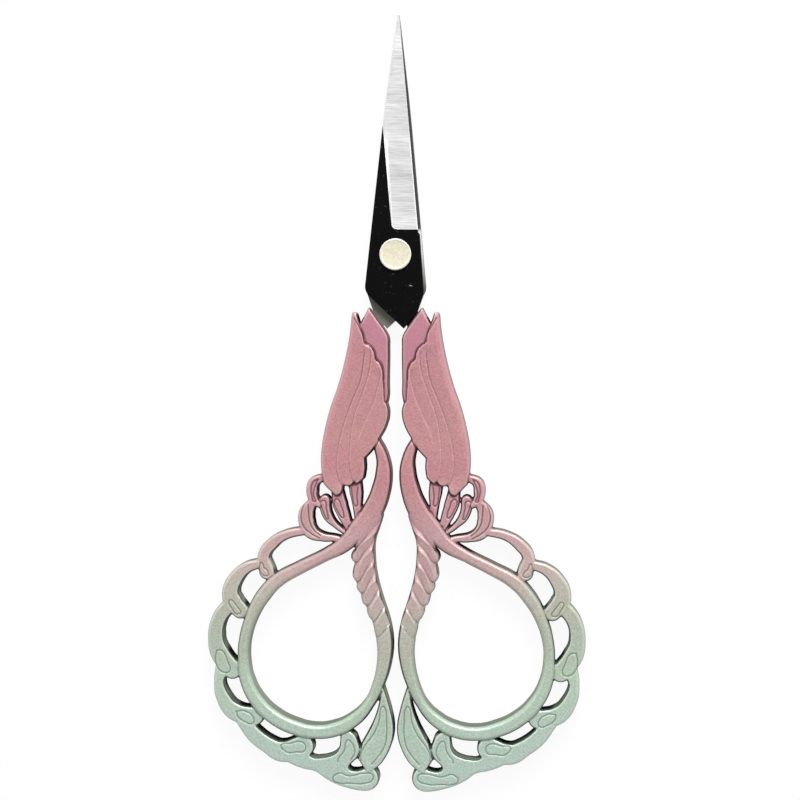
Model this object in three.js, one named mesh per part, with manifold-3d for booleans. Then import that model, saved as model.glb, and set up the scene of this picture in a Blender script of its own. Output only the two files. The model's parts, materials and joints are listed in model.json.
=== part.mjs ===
// Small tailor's scissors with cast flower handles, closed and lying flat.
// Millimetres, +Z up: X runs across, the tips point along +Y, and the origin lies under the
// middle of the part, on the surface that it rests on.
import * as THREE from 'three';
import { mergeVertices } from 'three/addons/utils/BufferGeometryUtils.js';
import Module from 'manifold-3d';

// Blades: stamped steel, placed from the pivot
const BLADE_LENGTH = 39.2;
const BLADE_THICKNESS = 1.5;
const BLADE_GAP = 0.12;
const SPINE_REACH = 4.45;
const SPINE_BEND_REACH = 1.75;
const SPINE_BEND_HEIGHT = 28;
const SHOULDER_REACH = 4.95;
const SHOULDER_DROP = 6.2;
const SHOULDER_ROUND = 1;
const SHANK_REACH = 4.33;
const SHANK_DROP = 6.4;
const SHANK_NARROWING = 0.2;
const EDGE_REACH = 3.9;
const EDGE_STEP = 0.3;
const HEEL_HEIGHT = 3.7;
const TIP_WIDTH = 0.3;

// Ground facet along each cutting edge
const GRIND_WIDTH = 4.2;
const GRIND_START = 4.1;
const GRIND_CORNER = 1;
const EDGE_THICKNESS = 0.3;

// Tang: the thinned end of the shank that the handle is cast around
const TANG_LENGTH = 12;
const TANG_WIDTH = 2.1;
const TANG_TIP_WIDTH = 1.6;
const TANG_THICKNESS = 0.9;
const TANG_SLANT = 10;
const CAST_CLEARANCE = 0.3;

// Pivot: a headed rivet, peened over a washer behind the back blade
const RIVET_DIAMETER = 3;
const RIVET_HEAD_DIAMETER = 5.2;
const RIVET_HEAD_HEIGHT = 0.6;
const RIVET_RIM_WIDTH = 0.4;
const RIVET_RIM_DEPTH = 0.12;
const RIVET_PEEN_DIAMETER = 4;
const RIVET_PEEN_HEIGHT = 0.25;
const WASHER_DIAMETER = 5;
const WASHER_THICKNESS = 0.32;
const RUNNING_CLEARANCE = 0.05;

// Casting: heights are the same on both faces
const HANDLE_THICKNESS = 4.6;
const BACK_PETAL_DROP = 0.35;
const SCALLOP_DROP = 0.4;
const STAMEN_DROP = 0.6;
const LEAF_DROP = 0.3;
const EDGE_CHAMFER = 0.3;
const EDGE_DRAFT = 1.5;

// Flower: its petals hang from the shank, beside the middle line
const FLOWER_TOP = 8.9;
const FLOWER_INSET = 1.05;
const FLOWER_LENGTH = 30.6;
const FLOWER_WIDTH = 11.2;
const CREASE_WIDTH = 1;
const CREASE_DEPTH = 0.3;
const STAMEN_WIDTH = 2.2;
const CURL_WIDTH = 1.85;

// Finger loop: the stem forks into it below the flower
const STEM_LENGTH = 8.5;
const LOOP_INSET = 1.7;
const LOOP_LENGTH = 30.1;
const LOOP_WIDTH = 23.2;
const LOOP_BAND = 2.2;
const ROPE_BEADS = 7;
const ROPE_BEAD_LENGTH = 4.4;
const ROPE_BEAD_WIDTH = 2.5;
const ROPE_LAY = 40;
const ROPE_TAPER = 0.25;
const ROPE_DROP = 0.23;
const SCALLOP_BAND = 2.4;

// Facets
const FACET_STEP = 1.58;
const CREASE_STEP = 2.5;
const FACETS_PER_POINT = 2;
const ROUND_FACETS = 32;
const CURVE_FACETS = 12;
const BAR_SIDES = 12;
const BAR_END_DEGREES = [30, 55, 75];
const BEAD_SIDES = 8;
const BEAD_RINGS = 5;
const LEAST_CORNER_SPREAD = 0.6;
const SAME_POINT = 1e-4;
const WELD = 0.02;

const PAINTED_CASTING = new THREE.MeshStandardMaterial({ color: 0xb89a94, roughness: 0.45, metalness: 0.6 });
const BLACK_STEEL = new THREE.MeshStandardMaterial({ color: 0x1c1c1e, roughness: 0.4, metalness: 0.8 });
const BRIGHT_STEEL = new THREE.MeshStandardMaterial({ color: 0xc9c4b8, roughness: 0.3, metalness: 1 });

const wasm = await Module();
wasm.setup();

// A closed geometry as a solid that can be joined and cut
function solid(geometry) {
  const bare = geometry.clone();
  bare.deleteAttribute('normal');
  bare.deleteAttribute('uv');
  const merged = mergeVertices(bare, SAME_POINT);
  return new wasm.Manifold(new wasm.Mesh({
    numProp: 3,
    vertProperties: new Float32Array(merged.attributes.position.array),
    triVerts: new Uint32Array(merged.index.array),
  }));
}

// A solid's surface, with corners that lie closer than the weld distance made one
function geometryOf(body) {
  const { vertProperties, triVerts } = body.getMesh();
  const surface = new THREE.BufferGeometry();
  surface.setAttribute('position', new THREE.BufferAttribute(vertProperties, 3));
  surface.setIndex(new THREE.BufferAttribute(triVerts, 1));
  const welded = mergeVertices(surface, WELD);
  const corners = welded.index.array;
  const kept = [];
  for (let first = 0; first < corners.length; first += 3) {
    const triangle = corners.slice(first, first + 3);
    if (new Set(triangle).size === 3) kept.push(...triangle);
  }
  welded.setIndex(kept);
  welded.computeVertexNormals();
  return welded;
}

function joined(bodies) {
  return bodies.reduce((whole, body) => whole.add(body));
}

// A flat outline as a slab between two heights
function slab(shape, low, high) {
  const geometry = new THREE.ExtrudeGeometry(shape, {
    depth: high - low,
    bevelEnabled: false,
    curveSegments: CURVE_FACETS,
  });
  return solid(geometry.translate(0, 0, low));
}

// A mesh of corner points and triangles as a solid
function meshed(positions, triangles) {
  const geometry = new THREE.BufferGeometry();
  geometry.setAttribute('position', new THREE.Float32BufferAttribute(positions, 3));
  geometry.setIndex(triangles);
  return solid(geometry);
}

// A closed outline drawn in by a margin, corner by corner
function drawnIn(contour, margin) {
  const count = contour.length;
  return contour.map((point, index) => {
    const before = point.clone().sub(contour[(index + count - 1) % count]).normalize();
    const after = contour[(index + 1) % count].clone().sub(point).normalize();
    const inward = new THREE.Vector2(-before.y - after.y, before.x + after.x).normalize();
    const spread = Math.max(inward.dot(new THREE.Vector2(-after.y, after.x)), LEAST_CORNER_SPREAD);
    return point.clone().addScaledVector(inward, margin / spread);
  });
}

// A cast plate: an outline with both faces chamfered all round
function plate(shape, halfHeight) {
  const contour = shape.getPoints(FACETS_PER_POINT).slice(1);
  if (THREE.ShapeUtils.isClockWise(contour)) contour.reverse();
  const count = contour.length;
  const face = drawnIn(contour, EDGE_CHAMFER);
  const wall = halfHeight - EDGE_DRAFT;
  const rings = [[face, -halfHeight], [contour, -wall], [contour, wall], [face, halfHeight]];
  const positions = rings.flatMap(([points, height]) => points.flatMap(({ x, y }) => [x, y, height]));
  const triangles = [];
  const top = (rings.length - 1) * count;
  for (const [a, b, c] of THREE.ShapeUtils.triangulateShape(contour, [])) {
    triangles.push(c, b, a, top + a, top + b, top + c);
  }
  for (let base = 0; base < top; base += count) {
    for (let corner = 0; corner < count; corner += 1) {
      const next = (corner + 1) % count;
      triangles.push(base + corner, base + next, base + count + next);
      triangles.push(base + corner, base + count + next, base + count + corner);
    }
  }
  return meshed(positions, triangles);
}

// An outline of smooth or straight runs that meet in corners
function outline(runs) {
  const points = runs.map((run) => run.map(([x, y]) => new THREE.Vector2(x, y)));
  const shape = new THREE.Shape();
  shape.moveTo(points[0][0].x, points[0][0].y);
  for (const [, ...rest] of points) {
    if (rest.length === 1) shape.lineTo(rest[0].x, rest[0].y);
    else shape.splineThru(rest);
  }
  return shape;
}

// Sections of a cast bar, counterclockwise, as [across, up]
function chamfered(halfWidth, halfHeight) {
  const across = halfWidth - Math.min(EDGE_CHAMFER, halfWidth / 2);
  const up = halfHeight - EDGE_DRAFT;
  return [
    [halfWidth, -up], [halfWidth, up], [across, halfHeight], [-across, halfHeight],
    [-halfWidth, up], [-halfWidth, -up], [-across, -halfHeight], [across, -halfHeight],
  ];
}

function rounded(halfWidth, halfHeight) {
  const turn = 2 * Math.PI / BAR_SIDES;
  const fill = 1 / Math.cos(turn / 2);
  return Array.from({ length: BAR_SIDES }, (_, side) => {
    const angle = (side + 0.5) * turn;
    return [halfWidth * fill * Math.cos(angle), halfHeight * fill * Math.sin(angle)];
  });
}

// A cast bar: a section swept through [x, y, share of the band] points, with blunt or round ends
function bar(path, band, halfHeight, options = {}) {
  const { section = chamfered, step = FACET_STEP, roundStart = false, roundEnd = false } = options;
  const knots = path.map(([x, y, share]) => new THREE.Vector3(x, y, share * band / 2));
  const curve = new THREE.CatmullRomCurve3(knots, false, 'centripetal');
  const along = curve.getSpacedPoints(Math.ceil(curve.getLength() / step));
  const stations = along.map((point, index) => {
    const before = along[Math.max(index - 1, 0)];
    const after = along[Math.min(index + 1, along.length - 1)];
    const heading = new THREE.Vector2(after.x - before.x, after.y - before.y).normalize();
    return { x: point.x, y: point.y, heading, halfWidth: point.z };
  });
  const domed = (station, side) => BAR_END_DEGREES.map((degrees) => {
    const angle = THREE.MathUtils.degToRad(degrees);
    const out = side * station.halfWidth * Math.sin(angle);
    return {
      x: station.x + out * station.heading.x,
      y: station.y + out * station.heading.y,
      heading: station.heading,
      halfWidth: station.halfWidth * Math.cos(angle),
    };
  });
  if (roundStart) stations.unshift(...domed(stations[0], -1).reverse());
  if (roundEnd) stations.push(...domed(stations.at(-1), 1));
  return loft(stations, (station) => section(station.halfWidth, halfHeight));
}

function loft(stations, sectionAt) {
  const positions = [];
  const triangles = [];
  const sides = sectionAt(stations[0]).length;
  for (const station of stations) {
    for (const [across, up] of sectionAt(station)) {
      positions.push(station.x - across * station.heading.y, station.y + across * station.heading.x, up);
    }
  }
  const last = (stations.length - 1) * sides;
  const startCentre = positions.length / 3;
  for (const station of [stations[0], stations.at(-1)]) {
    positions.push(station.x, station.y, 0);
  }
  for (let side = 0; side < sides; side += 1) {
    const next = (side + 1) % sides;
    triangles.push(startCentre, next, side, startCentre + 1, last + side, last + next);
    for (let base = 0; base < last; base += sides) {
      triangles.push(base + side, base + next, base + sides + next);
      triangles.push(base + side, base + sides + next, base + sides + side);
    }
  }
  return meshed(positions, triangles);
}

// Places in percent of the flower: outwards from its inner side, and down from its tip
function onFlower([across, down, ...rest]) {
  const x = FLOWER_INSET + across / 100 * FLOWER_WIDTH;
  const y = -FLOWER_TOP - down / 100 * FLOWER_LENGTH;
  return [x, y, ...rest];
}

// Places in percent of the loop: outwards from its inner side, and down from the fork
function onLoop([across, down, ...rest]) {
  const x = LOOP_INSET + across / 100 * LOOP_WIDTH;
  const y = -FLOWER_TOP - FLOWER_LENGTH - STEM_LENGTH - down / 100 * LOOP_LENGTH;
  return [x, y, ...rest];
}

// The slanted mouth of the flower, where the shank goes in, and a line beside it on the shank's side
const MOUTH_TIP = new THREE.Vector2(...onFlower([29.6, 0]));
const MOUTH_HEEL = new THREE.Vector2(...onFlower([5.5, 11]));

function besideMouth(distance) {
  const along = MOUTH_HEEL.clone().sub(MOUTH_TIP).normalize();
  const away = new THREE.Vector2(along.y, -along.x).multiplyScalar(distance);
  return [MOUTH_TIP.clone().add(away), MOUTH_HEEL.clone().add(away)];
}

// The tang's plan, or with a margin all round the pocket that it sits in
function tangShape(margin) {
  const [tip, heel] = besideMouth(CAST_CLEARANCE);
  const root = tip.add(heel).multiplyScalar(0.5);
  const slant = THREE.MathUtils.degToRad(TANG_SLANT);
  const along = new THREE.Vector2(Math.sin(slant), -Math.cos(slant));
  const across = new THREE.Vector2(along.y, -along.x);
  const corner = (length, width) => root.clone()
    .addScaledVector(along, length)
    .addScaledVector(across, width);
  const rootSide = TANG_WIDTH / 2 + margin;
  const tipSide = TANG_TIP_WIDTH / 2 + margin;
  return new THREE.Shape([
    corner(-TANG_WIDTH / 2, rootSide),
    corner(TANG_LENGTH + margin, tipSide),
    corner(TANG_LENGTH + margin, -tipSide),
    corner(-TANG_WIDTH / 2, -rootSide),
  ]);
}

// Blade
const bladeLow = BLADE_GAP / 2;
const bladeHigh = bladeLow + BLADE_THICKNESS;
const heelReach = EDGE_REACH - EDGE_STEP;

function bladeShape() {
  const [mouthTip, shankHeel] = besideMouth(CAST_CLEARANCE);
  const shankTip = mouthTip.clone().lerp(shankHeel, SHANK_NARROWING);
  const shoulder = new THREE.Vector2(-SHOULDER_REACH, -SHOULDER_DROP);
  const below = shankHeel.clone().sub(shoulder).setLength(SHOULDER_ROUND).add(shoulder);
  const shape = new THREE.Shape();
  shape.moveTo(shoulder.x, shoulder.y + SHOULDER_ROUND);
  shape.quadraticCurveTo(shoulder.x, shoulder.y, below.x, below.y);
  shape.lineTo(shankHeel.x, shankHeel.y);
  shape.lineTo(shankTip.x, shankTip.y);
  shape.lineTo(SHANK_REACH, -SHANK_DROP);
  shape.lineTo(EDGE_REACH, HEEL_HEIGHT - EDGE_STEP);
  shape.lineTo(heelReach, HEEL_HEIGHT);
  shape.lineTo(TIP_WIDTH / 2, BLADE_LENGTH);
  shape.lineTo(-TIP_WIDTH / 2, BLADE_LENGTH);
  shape.quadraticCurveTo(-SPINE_BEND_REACH, SPINE_BEND_HEIGHT, -SPINE_REACH, 0);
  return shape;
}

// The metal that the grinding wheel takes off: a wedge along the edge, with a rounded end
function grindCut() {
  const edge = new THREE.Vector2(TIP_WIDTH / 2 - heelReach, BLADE_LENGTH - HEEL_HEIGHT);
  const lean = Math.atan2(-edge.x, edge.y);
  const past = BLADE_THICKNESS;
  const slope = (BLADE_THICKNESS - EDGE_THICKNESS) / GRIND_WIDTH;
  const wedge = new THREE.Shape([
    new THREE.Vector2(-GRIND_WIDTH - past, bladeHigh + past * slope),
    new THREE.Vector2(past, bladeLow + EDGE_THICKNESS - past * slope),
    new THREE.Vector2(past, bladeHigh + past),
    new THREE.Vector2(-GRIND_WIDTH - past, bladeHigh + past),
  ]);
  const length = 2 * (edge.length() + past);
  const wheel = new THREE.ExtrudeGeometry(wedge, { depth: length, bevelEnabled: false });
  wheel.translate(0, 0, -length / 2).rotateX(Math.PI / 2).rotateZ(lean);
  wheel.translate(heelReach, HEEL_HEIGHT, 0);
  const upperSide = -Math.tan(lean);
  const leftAtStart = heelReach - GRIND_WIDTH / Math.cos(lean) + (GRIND_START - HEEL_HEIGHT) * upperSide;
  const left = leftAtStart + GRIND_CORNER * upperSide;
  const reach = new THREE.Shape();
  reach.moveTo(EDGE_REACH + past, GRIND_START);
  reach.lineTo(EDGE_REACH + past, BLADE_LENGTH + past);
  reach.lineTo(leftAtStart + (BLADE_LENGTH + past - GRIND_START) * upperSide, BLADE_LENGTH + past);
  reach.lineTo(left, GRIND_START + GRIND_CORNER);
  reach.quadraticCurveTo(leftAtStart, GRIND_START, leftAtStart + GRIND_CORNER, GRIND_START);
  return solid(wheel).intersect(slab(reach, 0, bladeHigh + past));
}

function roundHole(diameter, low, high) {
  const hole = new THREE.CylinderGeometry(diameter / 2, diameter / 2, high - low, ROUND_FACETS);
  return solid(hole.rotateX(Math.PI / 2).translate(0, 0, (low + high) / 2));
}

function blade() {
  const tang = slab(tangShape(0), bladeLow, bladeLow + TANG_THICKNESS);
  return slab(bladeShape(), bladeLow, bladeHigh)
    .add(tang)
    .subtract(grindCut())
    .subtract(roundHole(RIVET_DIAMETER + 2 * RUNNING_CLEARANCE, 0, bladeHigh + BLADE_GAP));
}

// Handle casting
const handleHalf = HANDLE_THICKNESS / 2;
const scallopHalf = handleHalf - SCALLOP_DROP;
const stamenHalf = handleHalf - STAMEN_DROP;

function frontPetals() {
  return plate(outline([
    [[54.5, 2.4], [57.3, 12], [63.9, 25.4], [75.5, 41.4], [85.8, 52.1], [94.5, 64.4], [99.6, 76.1],
      [99.6, 85.8], [96, 93.8]].map(onFlower),
    [[96, 93.8], [84.3, 98], [77, 99.9], [69.7, 98.6], [66.8, 95.4]].map(onFlower),
    [[66.8, 95.4], [59.5, 96], [51, 93.2]].map(onFlower),
    [[51, 93.2], [44.5, 94], [36.1, 90.6]].map(onFlower),
    [[36.1, 90.6], [34, 85.2], [34.7, 79.9]].map(onFlower),
    [[34.7, 79.9], [23, 75.1], [14.2, 69.7], [4, 62.8], [-0.3, 55.8], [1.8, 51], [7, 48.4]].map(onFlower),
    [[7, 48.4], [7, 41.4], [8.4, 32.3], [12.8, 28.3]].map(onFlower),
    [[12.8, 28.3], [17.2, 27], [20.1, 22.7], [27.4, 19.3], [33.2, 18.5]].map(onFlower),
    [[33.2, 18.5], [36.5, 14], [42, 8], [47.5, 2.4]].map(onFlower),
    [[47.5, 2.4], [54.5, 2.4]].map(onFlower),
  ]), handleHalf);
}

function backPetal() {
  return plate(outline([
    [[29.6, 0], [5.5, 11]].map(onFlower),
    [[5.5, 11], [0.4, 14.7], [-0.3, 20.1], [1.1, 38.8], [5.5, 49]].map(onFlower),
    [[5.5, 49], [40, 30]].map(onFlower),
    [[40, 30], [48, 14]].map(onFlower),
    [[48, 14], [41, 6.4]].map(onFlower),
    [[41, 6.4], [33, 1.2], [29.6, 0]].map(onFlower),
  ]), handleHalf - BACK_PETAL_DROP);
}

// Creases part the front petals lengthwise: a V that fades out at its ends, cut into both faces
function creases() {
  const upperFace = (halfWidth) => {
    const depth = 2 * halfWidth * CREASE_DEPTH / CREASE_WIDTH;
    return [[2 * halfWidth, handleHalf + depth], [-2 * halfWidth, handleHalf + depth], [0, handleHalf - depth]];
  };
  const lowerFace = (halfWidth) => upperFace(halfWidth).map(([across, up]) => [across, -up]).reverse();
  const lines = [
    [[34.7, 19.5, 0.6], [38.3, 32.3, 1], [52.2, 47.8, 1], [66.8, 62.8, 1], [75.5, 77.2, 1], [77, 84.1, 0.9],
      [74.1, 93.8, 0.5]],
    [[25.9, 23, 0.2], [28, 31.8, 0.7], [39.1, 45.2, 0.8], [50.7, 57.4, 0.8], [56.6, 70.8, 0.6], [58, 82.5, 0.2]],
    [[9.9, 36, 0.2], [18.6, 45.2, 0.7], [30.3, 56.4, 0.8], [43.4, 67.6, 0.6], [49.3, 76.1, 0.2]],
  ];
  return joined(lines.flatMap((line) => [upperFace, lowerFace].map((section) => (
    bar(line.map(onFlower), CREASE_WIDTH, handleHalf, { section, step: CREASE_STEP })
  ))));
}

function stamens() {
  const paths = [
    [[50.7, 92.2, 1.1], [48.5, 98.6, 1.05], [47.1, 105, 0.77], [45.6, 113.5, 0.55]],
    [[76.3, 97.5, 1], [72.6, 104.5, 1.18], [66.8, 110.3, 1], [58, 118.3, 0.63]],
    [[94.5, 102.3, 0.9], [93.8, 107.1, 0.9], [89.4, 111.4, 0.86], [79.9, 115.4, 0.68], [62.4, 120.5, 0.46]],
  ];
  return joined(paths.map((path) => bar(path.map(onFlower), STAMEN_WIDTH, stamenHalf, { roundStart: true })));
}

function curls() {
  const upper = [[97.4, 91.1, 0.8], [111.3, 93.8, 1], [113.5, 98, 1], [110.6, 102.3, 0.9], [99, 105.8, 0.55]];
  const lower = [[113.5, 103.9, 0.9], [121.5, 109.3, 1.43], [121.5, 114.1, 1.48], [114.9, 119.4, 1.33],
    [98.9, 122.1, 0.87], [78.5, 122.9, 0.66], [65.3, 124.2, 0.61]];
  return joined([upper, lower].map((path) => bar(path.map(onFlower), CURL_WIDTH, scallopHalf, {
    roundStart: true,
  })));
}

// The stem comes down from the flower and runs round the finger hole, back up to the fork
function stemAndLoop() {
  const stem = [[15.7, 70.8, 0.3], [7.7, 80.4, 0.8], [6.2, 86.8, 1.05], [12.8, 95.9, 1.25], [24.5, 106.6, 1.4],
    [43.4, 117.3, 1.5]];
  const outside = [[29.2, -1.7, 1.2], [43.3, 4.5, 0.95], [60.9, 11.3, 1], [76.4, 18.1, 1.1], [87.6, 27.3, 1.1],
    [95.6, 38.8, 0.9], [100.2, 50.7, 0.85], [101, 61.7, 0.86], [98.4, 74, 1.02], [90.6, 85, 1.1]];
  const inside = [[79, 93.3, 1.14], [64.6, 98.7, 1.15], [50.3, 100.9, 1.1], [36, 99.6, 1.12],
    [21.6, 93.9, 1.03], [11.3, 85.2, 0.83], [4.5, 74, 0.93], [0.6, 61.5, 1.1], [0.2, 51.8, 1.25],
    [2.6, 40.9, 1.3], [8, 29, 1.4], [12.6, 17, 1.5], [14.4, 6.2, 1.5]];
  const rootOfRope = [[34.5, 123.1, 1.4], [29, 115, 1.1], [23, 105, 0.8]];
  const path = [...stem.map(onFlower), ...[...outside, ...inside].map(onLoop), ...rootOfRope.map(onFlower)];
  return bar(path, LOOP_BAND, handleHalf, { section: rounded });
}

// Twisted lobes on the loop's inner leg
function rope() {
  const line = [[18.4, 7.5], [16.8, 16], [12.8, 27], [8, 37], [4.8, 46.5]].map(onLoop);
  const curve = new THREE.CatmullRomCurve3(line.map(([x, y]) => new THREE.Vector3(x, y, 0)));
  const beads = Array.from({ length: ROPE_BEADS }, (_, bead) => {
    const share = bead / (ROPE_BEADS - 1);
    const taper = 1 - ROPE_TAPER * share;
    const centre = curve.getPointAt(share);
    const geometry = new THREE.SphereGeometry(1, BEAD_SIDES, BEAD_RINGS).rotateX(Math.PI / 2);
    geometry.scale(ROPE_BEAD_LENGTH / 2 * taper, ROPE_BEAD_WIDTH / 2, handleHalf - ROPE_DROP);
    geometry.rotateZ(THREE.MathUtils.degToRad(-ROPE_LAY));
    return solid(geometry.translate(centre.x, centre.y, 0));
  });
  return joined(beads);
}

// Scallops: each arches outside the loop and ends in a round lobe that rests on it
function scallops() {
  const first = [...[[123.7, 118.9, 0.6]].map(onFlower),
    ...[[71.4, -5.5, 0.67], [82, -0.4, 0.82], [86.2, 5.6, 0.96], [83, 14.4, 1.23]].map(onLoop)];
  const others = [
    [[89.1, 8.9, 0.67], [98.9, 11.6, 0.82], [106.7, 17.6, 1.04], [110.2, 24.6, 1.15], [103.2, 34.6, 1.23]],
    [[110.2, 31.1, 1.04], [118.6, 39.8, 1.04], [121.5, 50.7, 0.96], [119.3, 58.3, 1.15], [109, 67.3, 1.35]],
    [[115.8, 65.9, 1.04], [118.3, 74, 0.74], [115.1, 83.3, 1.04], [107.4, 90.3, 1.3], [93, 92.9, 1.3]],
    [[101, 95.2, 1.04], [94.7, 103.9, 1.2], [84.8, 109.3, 1.26], [73.6, 112, 1.5], [58.5, 109, 1.6]],
  ].map((path) => path.map(onLoop));
  return joined([first, ...others].map((path) => bar(path, SCALLOP_BAND, scallopHalf, { roundEnd: true })));
}

// The foot carries on from the last scallop, with a tall lobe that stands up to the loop
function foot() {
  return plate(outline([
    [[8.5, 119.5], [4.4, 127.5], [11.5, 133], [27.5, 131.6], [43.5, 126.2], [55, 121.2], [64, 118.6],
      [74, 114.5]].map(onLoop),
    [[74, 114.5], [66, 109]].map(onLoop),
    [[66, 109], [56.5, 110]].map(onLoop),
    [[56.5, 110], [50.5, 116.8], [39.5, 115.7], [31.7, 110.8], [30, 102.5], [25.6, 99], [20.5, 102.5],
      [17.6, 109.8], [17.8, 114]].map(onLoop),
    [[17.8, 114], [26.5, 120.5]].map(onLoop),
    [[26.5, 120.5], [21.3, 122.4], [14, 119.6]].map(onLoop),
    [[14, 119.6], [8.5, 119.5]].map(onLoop),
  ]), scallopHalf);
}

function leaf() {
  return plate(outline([
    [[1, 75.2], [-4.7, 89.8], [-6.3, 96.8], [-5.9, 103.4], [-1.1, 113.6], [6.5, 120.7]].map(onLoop),
    [[6.5, 120.7], [12, 125]].map(onLoop),
    [[12, 125], [21.2, 114.4]].map(onLoop),
    [[21.2, 114.4], [19.4, 110.5], [16.8, 106.2]].map(onLoop),
    [[16.8, 106.2], [9, 95.5], [4.8, 86], [3.2, 79]].map(onLoop),
    [[3.2, 79], [1, 75.2]].map(onLoop),
  ]), handleHalf - LEAF_DROP);
}

function handle() {
  const pocketLow = bladeLow - CAST_CLEARANCE;
  const pocketHigh = bladeLow + TANG_THICKNESS + CAST_CLEARANCE;
  const petals = frontPetals().subtract(creases());
  return joined([petals, backPetal(), stamens(), curls(), stemAndLoop(), rope(), scallops(), foot(), leaf()])
    .subtract(slab(tangShape(CAST_CLEARANCE), pocketLow, pocketHigh));
}

// Pivot
function turned(profile) {
  const points = profile.map(([radius, height]) => new THREE.Vector2(radius, height));
  return new THREE.LatheGeometry(points, ROUND_FACETS).rotateX(Math.PI / 2);
}

function rivet() {
  const shank = RIVET_DIAMETER / 2;
  const headRadius = RIVET_HEAD_DIAMETER / 2;
  const faceRadius = headRadius - RIVET_RIM_WIDTH;
  const peenRadius = RIVET_PEEN_DIAMETER / 2;
  const seat = bladeHigh + RUNNING_CLEARANCE;
  const headTop = seat + RIVET_HEAD_HEIGHT;
  const peenTop = -bladeHigh - WASHER_THICKNESS - 2 * RUNNING_CLEARANCE;
  return turned([
    [0, peenTop - RIVET_PEEN_HEIGHT],
    [shank, peenTop - RIVET_PEEN_HEIGHT],
    [peenRadius, peenTop],
    [shank, peenTop],
    [shank, seat],
    [headRadius, seat],
    [headRadius, headTop - RIVET_RIM_DEPTH],
    [headRadius - RIVET_RIM_DEPTH, headTop],
    [faceRadius + RIVET_RIM_DEPTH, headTop],
    [faceRadius, headTop - RIVET_RIM_DEPTH],
    [0, headTop - RIVET_RIM_DEPTH],
  ]);
}

function washer() {
  const bore = RIVET_DIAMETER / 2 + RUNNING_CLEARANCE;
  const rim = WASHER_DIAMETER / 2;
  const top = -bladeHigh - RUNNING_CLEARANCE;
  const bottom = top - WASHER_THICKNESS;
  return turned([[bore, bottom], [rim, bottom], [rim, top], [bore, top], [bore, bottom]]);
}

function piece(name, geometry, material) {
  const mesh = new THREE.Mesh(geometry, material);
  mesh.name = name;
  return mesh;
}

// Both halves are the same blade in the same casting: the back half is turned over
const bladeGeometry = geometryOf(blade());
const handleGeometry = geometryOf(handle());

const frontHalf = new THREE.Group();
frontHalf.add(piece('front_blade', bladeGeometry, BLACK_STEEL));
frontHalf.add(piece('right_handle', handleGeometry, PAINTED_CASTING));

const backHalf = new THREE.Group();
backHalf.rotation.y = Math.PI;
backHalf.add(piece('back_blade', bladeGeometry, BLACK_STEEL));
backHalf.add(piece('left_handle', handleGeometry, PAINTED_CASTING));

handleGeometry.computeBoundingBox();
const group = new THREE.Group();
group.position.set(0, -(BLADE_LENGTH + handleGeometry.boundingBox.min.y) / 2, handleHalf);
group.add(frontHalf, backHalf);
group.add(piece('pivot_rivet', rivet(), BRIGHT_STEEL));
group.add(piece('rivet_washer', washer(), BRIGHT_STEEL));

export default group;
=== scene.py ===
import json
import math

import bpy
import numpy as np
from mathutils import Matrix, Vector
from mathutils.bvhtree import BVHTree


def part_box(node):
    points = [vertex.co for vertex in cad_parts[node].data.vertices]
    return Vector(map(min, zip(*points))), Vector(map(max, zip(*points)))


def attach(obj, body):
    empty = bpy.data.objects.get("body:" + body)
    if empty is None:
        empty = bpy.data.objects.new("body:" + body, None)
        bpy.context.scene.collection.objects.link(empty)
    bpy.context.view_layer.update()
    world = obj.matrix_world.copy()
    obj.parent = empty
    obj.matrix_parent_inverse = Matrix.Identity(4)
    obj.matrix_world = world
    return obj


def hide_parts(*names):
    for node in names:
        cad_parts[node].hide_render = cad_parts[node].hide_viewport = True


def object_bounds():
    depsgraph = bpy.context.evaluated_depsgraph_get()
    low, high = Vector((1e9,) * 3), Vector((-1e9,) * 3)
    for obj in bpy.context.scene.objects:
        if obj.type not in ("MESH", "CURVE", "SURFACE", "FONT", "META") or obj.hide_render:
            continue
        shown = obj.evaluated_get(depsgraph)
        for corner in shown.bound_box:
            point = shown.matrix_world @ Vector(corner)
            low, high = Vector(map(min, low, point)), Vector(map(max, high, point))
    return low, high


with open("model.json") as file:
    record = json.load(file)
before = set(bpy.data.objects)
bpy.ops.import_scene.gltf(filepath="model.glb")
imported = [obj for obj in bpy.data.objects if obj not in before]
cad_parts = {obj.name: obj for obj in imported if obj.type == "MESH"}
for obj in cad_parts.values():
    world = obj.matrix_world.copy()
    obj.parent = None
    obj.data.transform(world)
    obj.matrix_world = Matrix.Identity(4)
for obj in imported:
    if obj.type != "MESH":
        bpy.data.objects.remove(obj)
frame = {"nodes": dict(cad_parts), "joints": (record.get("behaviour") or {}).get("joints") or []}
cad_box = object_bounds()

# Blades
# Two steel blades of one stamping, the back one turned over. The stamping is blackened all over,
# then a wheel grinds the bright facet along the cutting edge, and its lines run across the blade.
MM = 0.001
pivot = Vector(frame["joints"][0]["pos_m"])


def linear(colour):
    """A hex colour, as it looks on a screen, as the linear values that shaders take."""
    shares = [int(colour[i:i + 2], 16) / 255 for i in (1, 3, 5)]
    return [s / 12.92 if s <= 0.04045 else ((s + 0.055) / 1.055) ** 2.4 for s in shares] + [1]


def add(tree, kind, inputs=None, **settings):
    """Adds a node with its settings. Each input is a value, or the output that is linked to it."""
    made = tree.nodes.new("ShaderNode" + kind)
    for name, value in settings.items():
        setattr(made, name, value)
    for name, value in (inputs or {}).items():
        if isinstance(value, bpy.types.NodeSocket):
            tree.links.new(value, made.inputs[name])
        else:
            made.inputs[name].default_value = value
    return made


def new_material(name):
    """An empty material, with its node tree and its output node."""
    material = bpy.data.materials.new(name)
    material.use_nodes = True
    material.node_tree.nodes.clear()
    return material, material.node_tree, add(material.node_tree, "OutputMaterial")


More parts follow.
